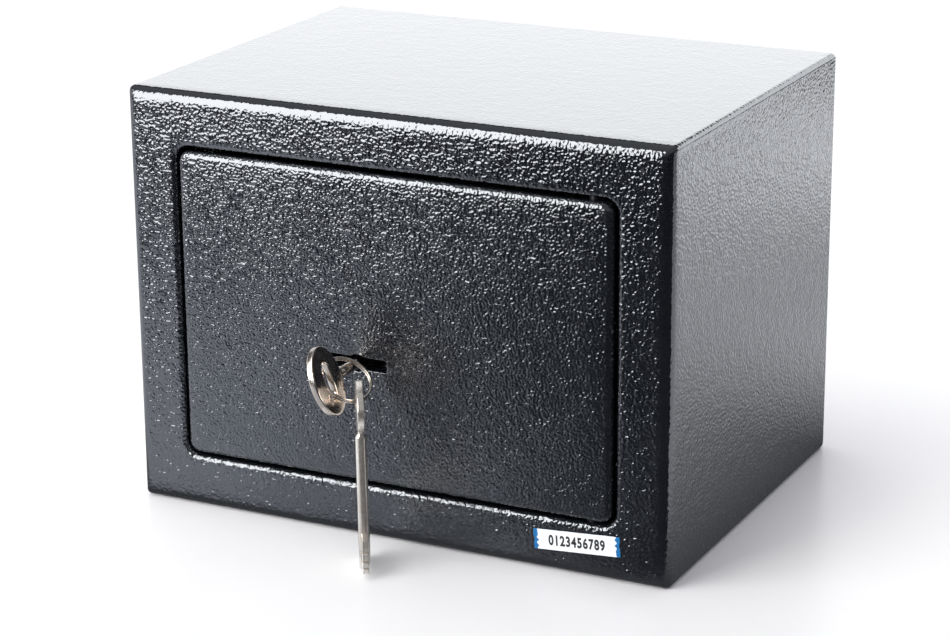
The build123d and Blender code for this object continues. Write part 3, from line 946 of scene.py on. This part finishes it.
    def build(self, material: Material) -> None:
        """Makes the key of a material, in place of its node."""
        shell = Shell()
        shell.add_grid(self.axes.place(self.bow_rows()), close_rows=True)
        for rows in (self.shaft_rows(), self.bit_rows()):
            shell.add_grid(self.axes.place(rows), caps=True)
        key = shell.build(self.name, self.body, Slot.NICKEL, 38.0)
        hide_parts(self.node)
        coat(key, material)


@dataclass
class SplitRing:
    """Ring of spring wire, wound twice, that steps over itself where its ends meet."""

    material: Material
    axes: Frame
    radius: float = 9.9
    wire: float = 0.5
    rise: float = 0.52
    step: float = 0.30
    start: float = 2.3
    turn_steps: int = 720
    wire_steps: int = 24

    def build(self) -> None:
        """Carries a circle along two turns of a circle.

        The angle runs through two turns. The height stays at minus rise on the first and plus
        rise on the second, and crosses between them over a short smooth step. The wire's radius
        falls to nothing over its last fraction of a millimetre, as a quarter circle does.
        """
        turn = np.linspace(self.step, 4 * pi - self.step, self.turn_steps + 1)
        share = np.clip((turn - 2 * pi + self.step) / (2 * self.step), 0, 1)
        height = self.rise * (2 * share * share * (3 - 2 * share) - 1)
        ends = np.minimum(turn - turn[0], turn[-1] - turn) * self.radius / self.wire
        thick = self.wire * np.sqrt(np.clip(1 - (1 - np.clip(ends, 0, 1)) ** 2, 0, 1))
        round_wire = np.linspace(0, 2 * pi, self.wire_steps, endpoint=False)[None, :]
        out = self.radius + thick[:, None] * np.cos(round_wire)
        angle = turn[:, None] + self.start
        grid = np.stack([out * np.cos(angle), out * np.sin(angle),
                         height[:, None] + thick[:, None] * np.sin(round_wire)], axis=2)
        shell = Shell()
        shell.add_grid(self.axes.place(grid))
        ring = shell.build("split_ring", Body.RING, Slot.NICKEL, 60.0)
        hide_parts("key_ring")
        coat(ring, self.material)


# ---------------------------------------------------------------- label


@dataclass
class Label:
    """Small inventory label: white card over a blue film, whose torn edge shows at both ends."""

    finishes: Finishes
    centre: tuple[float, float] = (78.0, 13.4)
    size: tuple[float, float] = (35.5, 8.0)
    tilt: float = 3.9
    film: float = 0.06
    card: float = 0.13
    margin: float = 1.75
    overlap: float = 0.3
    tear: float = 0.62
    ripple: float = 0.22
    nick: float = 0.30
    digits: str = "0123456789"
    digit_height: float = 4.5
    digit_width: float = 23.3
    stroke: float = 0.040
    spacing: float = 1.18
    ink: float = 0.02
    ink_lift: float = 0.006

    def axes(self) -> Frame:
        """The label's own axes: across, up and out of the front."""
        lean = radians(self.tilt)
        return Frame((self.centre[0], FRONT_Y, self.centre[1]), (cos(lean), 0, sin(lean)),
                     (-sin(lean), 0, cos(lean)), (0, -1, 0))

    def sheet(self, left: Array, right: Array, high: Array, level: float,
              depth: float) -> Shell:
        """A thin sheet between two edge lines.

        Args:
            left: x of the left edge at each height.
            right: x of the right edge at each height.
            high: the heights.
            level: how far its face stands off the cabinet.
            depth: its thickness.

        Returns:
            The closed shell.
        """
        share = np.linspace(0, 1, 8)[None, :]
        x = left[:, None] * (1 - share) + right[:, None] * share
        y = np.broadcast_to(high[:, None], x.shape)
        axes = self.axes()
        front = axes.place(np.stack([x, y, np.full(x.shape, level)], axis=2))
        shell = Shell()
        shell.add_plate(front, -np.array(axes.off) * depth * MM)
        return shell

    def build(self) -> None:
        """Makes the film, the card and the digits.

        The card's torn edge is the size of a slow sine, to a power under one, with a quick sine
        added. The film's nicks are the positive half of another slow sine. The right edges are
        the left ones turned upside down.
        """
        half = self.size[0] / 2
        high = np.linspace(-self.size[1] / 2, self.size[1] / 2, 97)
        phase = high / self.size[1] * 2 * pi
        wave = (self.tear * np.abs(np.sin(1.5 * phase + 0.4)) ** 0.8
                + self.ripple * np.sin(4.1 * phase))
        nick = self.nick * np.clip(np.sin(1.5 * phase + 1.9), 0, 1)
        film = self.sheet(-half + nick, half - nick[::-1], high, self.film, self.film)
        backing = film.build("label_film", Body.CABINET, Slot.PAPER)
        coat(backing, self.finishes.film)
        edge = half - self.margin - self.overlap
        card = self.sheet(-edge - wave, edge + wave[::-1], high, self.card, self.card - self.film)
        paper = card.build("label_card", Body.CABINET, Slot.PAPER)
        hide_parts("serial_label")
        coat(paper, self.finishes.paper)
        self.print_digits()

    def print_digits(self) -> None:
        """Prints the digits as a thin raised layer of ink, fitted to their height and width."""
        text = bpy.data.curves.new("label_digits", "FONT")
        text.body = self.digits
        text.extrude = self.ink / 4
        text.offset = self.stroke
        text.space_character = self.spacing
        text.resolution_u = 6
        word = bpy.data.objects.new("label_digits_text", text)
        bpy.context.scene.collection.objects.link(word)
        bpy.context.view_layer.update()
        mesh = bpy.data.meshes.new_from_object(word)
        bpy.data.objects.remove(word)
        points = np.empty(len(mesh.vertices) * 3)
        mesh.vertices.foreach_get("co", points)
        points = points.reshape(-1, 3)
        low, high = points.min(axis=0), points.max(axis=0)
        size = np.array([self.digit_width, self.digit_height, self.ink])
        local = ((points - low) / (high - low) - 0.5) * size
        local[:, 2] += self.card + self.ink_lift
        mesh.vertices.foreach_set("co", self.axes().place(local).ravel())
        obj = bpy.data.objects.new("label_digits", mesh)
        bpy.context.scene.collection.objects.link(obj)
        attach(obj, Body.CABINET.value)
        coat(obj, self.finishes.ink)
        log.info("%s: %d faces on %s", obj.name, len(mesh.polygons), Body.CABINET.value)


# ---------------------------------------------------------------- studio


class Seen(Enum):
    """What a lamp shows in."""

    ALL = "matt and glossy surfaces"
    LIGHT = "matt surfaces"
    SHINE = "glossy surfaces"


@dataclass(frozen=True)
class SoftBox:
    """Rectangular lamp that the camera doesn't see. Its radiance is 1 where its face is white."""

    name: str
    at: tuple[float, float, float]
    aim: tuple[float, float, float]
    size: tuple[float, float]
    radiance: float
    tint: Colour = (1.0, 1.0, 1.0)
    roll: float = 0.0
    seen: Seen = Seen.ALL

    def build(self) -> None:
        """Adds the lamp, facing its aim and turned by roll about that line.

        Its power is its radiance times pi times its area.
        """
        data = bpy.data.lights.new(self.name, "AREA")
        data.shape = "RECTANGLE"
        data.size, data.size_y = self.size
        data.energy = self.radiance * pi * self.size[0] * self.size[1]
        data.color = self.tint
        lamp = bpy.data.objects.new(self.name, data)
        lamp.location = self.at
        turn = (Vector(self.aim) - Vector(self.at)).to_track_quat("-Z", "Y")
        lamp.rotation_euler = (turn @ Quaternion((0, 0, 1), radians(self.roll))).to_euler()
        lamp.visible_camera = False
        lamp.visible_glossy = self.seen is not Seen.LIGHT
        lamp.visible_diffuse = self.seen is not Seen.SHINE
        bpy.context.scene.collection.objects.link(lamp)


LAMPS = (
    SoftBox("key_box", (-0.48, -0.69, 0.61), (-0.03, -0.05, 0.61), (0.56, 1.08), 6.5,
            (1.0, 0.99, 0.98), 5.0, Seen.SHINE),
    SoftBox("key_fill", (-0.42, -0.72, 0.615), (-0.02, -0.05, 0.615), (0.66, 1.07), 5.5,
            (1.0, 0.99, 0.98), seen=Seen.LIGHT),
    SoftBox("back_box", (-0.25, 1.35, 0.42), (0.0, 0.0, 0.14), (3.2, 0.85), 1.5,
            (0.985, 0.99, 1.0)),
    SoftBox("overhead_box", (-0.4, 0.1, 1.6), (0.0, 0.0, 0.0), (1.5, 1.5), 1.3, seen=Seen.LIGHT),
    SoftBox("side_box", (0.30, 0.30, 0.065), (0.115, 0.0, 0.065), (0.40, 0.08), 1.15,
            (0.97, 0.98, 1.0), seen=Seen.SHINE),
)


@dataclass
class Table:
    """White table top. Glossy things mirror zones of it that the camera can't see: glowing painted light
    and painted shade.

    Zones are ramps over x, y or the gap to the safe's footprint, in metres.
    """

    half: float = 3.0
    rows: int = 7
    paper: Colour = (0.86, 0.86, 0.865)
    footprint: tuple[float, float] = (0.115, 0.0865)
    fade: Ramp = Ramp(0.0, 1.0, 0.0, 0.16)
    white: Ramp = Ramp(0.96, 1.0, -0.40, -0.10)
    sheen: float = 0.10
    sheen_tint: Colour = (0.97, 0.97, 1.0)
    sheen_roughness: float = 0.28
    front_tint: Colour = (0.90, 0.935, 1.0)
    near_y: Ramp = Ramp(0.0, 0.95, -0.23, -0.13)
    near_x: Ramp = Ramp(1.0, 0.05, 0.0, 0.10)
    mottle: Ramp = Ramp(0.15, 1.0, 0.42, 0.58)
    mottle_size: float = 0.035
    slope: float = 0.45
    left_line: Ramp = Ramp(1.0, 0.03, -0.06, 0.11)
    left_y: Ramp = Ramp(0.08, 1.0, -0.48, -0.28)
    ring_tint: Colour = (0.95, 0.96, 1.0)
    # painted shadow of the safe for mirrors: the ring glows dimmer close to the safe
    painted_shadow_rise: Ramp = Ramp(0.15, 1.0, 0.0, 0.12)
    ring_fall: Ramp = Ramp(1.0, 0.35, 0.18, 0.90)
    front_edge: Ramp = Ramp(0.0, 1.0, -0.10, -0.09)

    def gap(self, g: Graph) -> Socket:
        """Distance from the footprint: the length of what each coordinate has over its half."""
        size = g.node("VectorMath", {0: g.place}, operation="ABSOLUTE").outputs[0]
        over = g.node("VectorMath", {0: size, 1: (*self.footprint, 0)},
                      operation="SUBTRACT").outputs[0]
        away = g.node("VectorMath", {0: over, 1: (0, 0, 0)}, operation="MAXIMUM").outputs[0]
        return g.node("VectorMath", {0: away}, operation="LENGTH").outputs["Value"]

    def seen(self, g: Graph, gap: Socket, paper: Socket) -> Socket:
        """What the camera sees: paper that fades to white with the gap, under a faint sheen.

        Args:
            g: the table's nodes.
            gap: distance from the footprint.
            paper: the matt paper.

        Returns:
            The shader.
        """
        white = g.emission((1, 1, 1), g.spread(g.coordinate("Y"), *self.white))
        plain = g.mixed(g.spread(gap, *self.fade), paper, white)
        sheen = g.node("BsdfGlossy", {"Color": (*self.sheen_tint, 1),
                                      "Roughness": self.sheen_roughness}).outputs[0]
        return g.mixed(self.sheen, plain, sheen)

    def mirrored(self, g: Graph, gap: Socket) -> Socket:
        """What glossy surfaces mirror: painted light that glows in zones, and painted shade.

        Before the front edge it is the brighter of two zones: a mottled one close to the safe,
        and one to the left of a slanting line, which dims towards the front. Behind that edge
        it is a ring round the safe: dim at the safe, as a painted shadow of it, bright a little
        way off, dim far out.

        Args:
            g: the table's nodes.
            gap: distance from the footprint.

        Returns:
            The shader.
        """
        x, y = g.coordinate("X"), g.coordinate("Y")
        mottle = g.spread(g.noise(self.mottle_size, 1.0), *self.mottle)
        near = g.math("MULTIPLY", g.math("MULTIPLY", g.spread(y, *self.near_y), mottle),
                      g.spread(x, *self.near_x))
        line = g.math("MULTIPLY_ADD", y, -self.slope, x)
        left = g.math("MULTIPLY", g.spread(line, *self.left_line), g.spread(y, *self.left_y))
        # painted light: the table glows in these zones for mirrors only
        front = g.emission(self.front_tint, g.math("MAXIMUM", near, left))
        # painted shadow at the safe's foot, then painted light further off
        ring = g.math("MULTIPLY", g.spread(gap, *self.painted_shadow_rise), g.spread(gap, *self.ring_fall))
        around = g.emission(self.ring_tint, ring)
        return g.mixed(g.spread(y, *self.front_edge), front, around)

    def material(self) -> Material:
        """Chooses by the kind of ray: matt paper for light, and for the camera and mirrors their own."""
        g = Graph(bpy.data.materials.new("table_paper"))
        gap = self.gap(g)
        paper = g.node("BsdfDiffuse", {"Color": (*self.paper, 1)}).outputs[0]
        ray = g.node("LightPath", {}).outputs
        mirror_ray = g.math("MAXIMUM", ray["Is Glossy Ray"], ray["Is Transmission Ray"])
        unseen = g.mixed(mirror_ray, paper, self.mirrored(g, gap))
        top = g.mixed(ray["Is Camera Ray"], unseen, self.seen(g, gap, paper))
        g.node("OutputMaterial", {"Surface": top})
        return g.owner

    def build(self) -> None:
        """Makes the table top."""
        side = np.linspace(-self.half, self.half, self.rows)
        x, y = np.meshgrid(side, side, indexing="ij")
        points = np.stack([x, y, np.zeros_like(x)], axis=2).reshape(-1, 3)
        mesh = bpy.data.meshes.new("table_top")
        mesh.from_pydata(points, [], grid_faces(self.rows, self.rows, False, False).tolist())
        mesh.materials.append(self.material())
        table = bpy.data.objects.new("table_top", mesh)
        bpy.context.scene.collection.objects.link(table)


@dataclass
class Room:
    """World: white to the camera, an even fill to matt surfaces and a room to glossy ones.

    Levels are ramps over the upward part of a direction. The front of the room is dim and
    brightens upwards. The back is bright up to a dark band, with a dim ceiling over it.
    """

    front: Ramp = Ramp(0.04, 0.24, 0.12, 0.42)
    back: Ramp = Ramp(0.90, 0.09, 0.37, 0.43)
    ceiling: Ramp = Ramp(0.0, 0.3, 0.56, 0.72)
    turn: Ramp = Ramp(0.0, 1.0, -0.4, 0.4)
    tint: Colour = (0.96, 0.98, 1.0)
    fill: float = 0.6
    fill_tint: Colour = (0.945, 0.935, 1.0)

    def level(self, g: Graph) -> Socket:
        """How bright the room is: front and back blended over y less x of the direction."""
        rise = g.coordinate("Z")
        front = g.spread(rise, *self.front)
        back = g.math("MAXIMUM", g.spread(rise, *self.back), g.spread(rise, *self.ceiling))
        across = g.math("SUBTRACT", g.coordinate("Y"), g.coordinate("X"))
        return g.math("MULTIPLY_ADD", g.math("SUBTRACT", back, front),
                      g.spread(across, *self.turn), front)

    def build(self) -> None:
        """Makes the world."""
        world = bpy.data.worlds.new("studio")
        bpy.context.scene.world = world
        g = Graph(world, "Generated")
        shades = ((self.tint, self.level(g)), (self.fill_tint, self.fill), ((1, 1, 1), 1.0))
        room, fill, white = (g.node("Background", {"Color": (*tint, 1), "Strength": level}).outputs[0]
                             for tint, level in shades)
        ray = g.node("LightPath", {}).outputs
        unseen = g.mixed(ray["Is Glossy Ray"], fill, room)
        g.node("OutputWorld", {"Surface": g.mixed(ray["Is Camera Ray"], unseen, white)})


@dataclass
class Studio:
    """Camera, table, room and lamps."""

    eye: tuple[float, float, float] = (0.4858, -0.9863, 0.4212)
    azimuth: float = 26.56
    elevation: float = 17.90
    roll: float = -0.42
    lens: float = 107.45
    sensor: float = 36.0

    def camera(self) -> None:
        """Looks along the azimuth and elevation from the eye, turned about its own axis by roll."""
        turn, rise, tip = radians(self.azimuth), radians(self.elevation), radians(self.roll)
        back = Vector((sin(turn) * cos(rise), -cos(turn) * cos(rise), sin(rise)))
        level = Vector((cos(turn), sin(turn), 0))
        upright = back.cross(level)
        right = level * cos(tip) + upright * sin(tip)
        up = back.cross(right)
        data = bpy.data.cameras.new("camera")
        data.lens, data.sensor_width = self.lens, self.sensor
        data.clip_start, data.clip_end = 0.01, 50.0
        camera = bpy.data.objects.new("camera", data)
        place = Matrix((right, up, back)).transposed().to_4x4()
        place.translation = Vector(self.eye)
        camera.matrix_world = place
        bpy.context.scene.collection.objects.link(camera)
        bpy.context.scene.camera = camera

    def build(self) -> None:
        """Sets up the camera, the table, the room and the lamps."""
        self.camera()
        Table().build()
        Room().build()
        for lamp in LAMPS:
            lamp.build()
        bpy.context.scene.view_settings.view_transform = "Standard"


# ---------------------------------------------------------------- the safe


KEY_LEAN = radians(20)
KEY_AXES = Frame((KEYHOLE[0], FRONT_Y - KEY_STANDOFF, KEYHOLE[1]),
                 (-sin(KEY_LEAN), 0, cos(KEY_LEAN)), (0, -1, 0), (cos(KEY_LEAN), 0, sin(KEY_LEAN)))


def carried(axes: Frame, point: Sequence[float]) -> Array:
    """A point or direction given in another piece's axes, in the row's millimetres."""
    return np.array(axes.origin) + np.array(point) @ np.array([axes.across, axes.along, axes.off])


def spare_axes() -> Frame:
    """Axes of the hanging key: bow to tip points down, and its face looks to the right."""
    down = np.array([0.0690, -0.0965, -0.9929])
    face = np.array([0.8565, 0.5160, 0.0094])
    down, face = down / np.linalg.norm(down), face / np.linalg.norm(face)
    across = np.cross(face, down)
    across /= np.linalg.norm(across)
    return Frame(tuple(carried(KEY_AXES, (-12.36, -1.46, 9.62))), tuple(across),
                 tuple(np.cross(face, across)), tuple(face))


def ring_axes() -> Frame:
    """Axes of the split ring, threaded through both keys."""
    centre = carried(KEY_AXES, (-2.82, -8.70, 3.02))
    axis = carried(KEY_AXES, (0.5385, 0.270, 0.798)) - np.array(KEY_AXES.origin)
    axis /= np.linalg.norm(axis)
    side = np.cross((0, 0, 1), axis)
    side /= np.linalg.norm(side)
    return Frame(tuple(centre), tuple(side), tuple(np.cross(axis, side)), tuple(axis))


def main() -> None:
    """Builds the safe and its studio, in order."""
    logging.basicConfig(level=logging.INFO, format="%(name)s %(message)s")
    finishes = Finishes()
    Cabinet(finishes).build()
    Door(finishes).build()
    SafeKey("lock_key", "key_in_lock", Body.KEY, KEY_AXES).build(finishes.nickel)
    SafeKey("hanging_key", "spare_key", Body.SPARE, spare_axes()).build(finishes.satin_nickel)
    SplitRing(finishes.nickel, ring_axes()).build()
    Label(finishes).build()
    Studio().build()


if __name__ == "__main__":
    main()
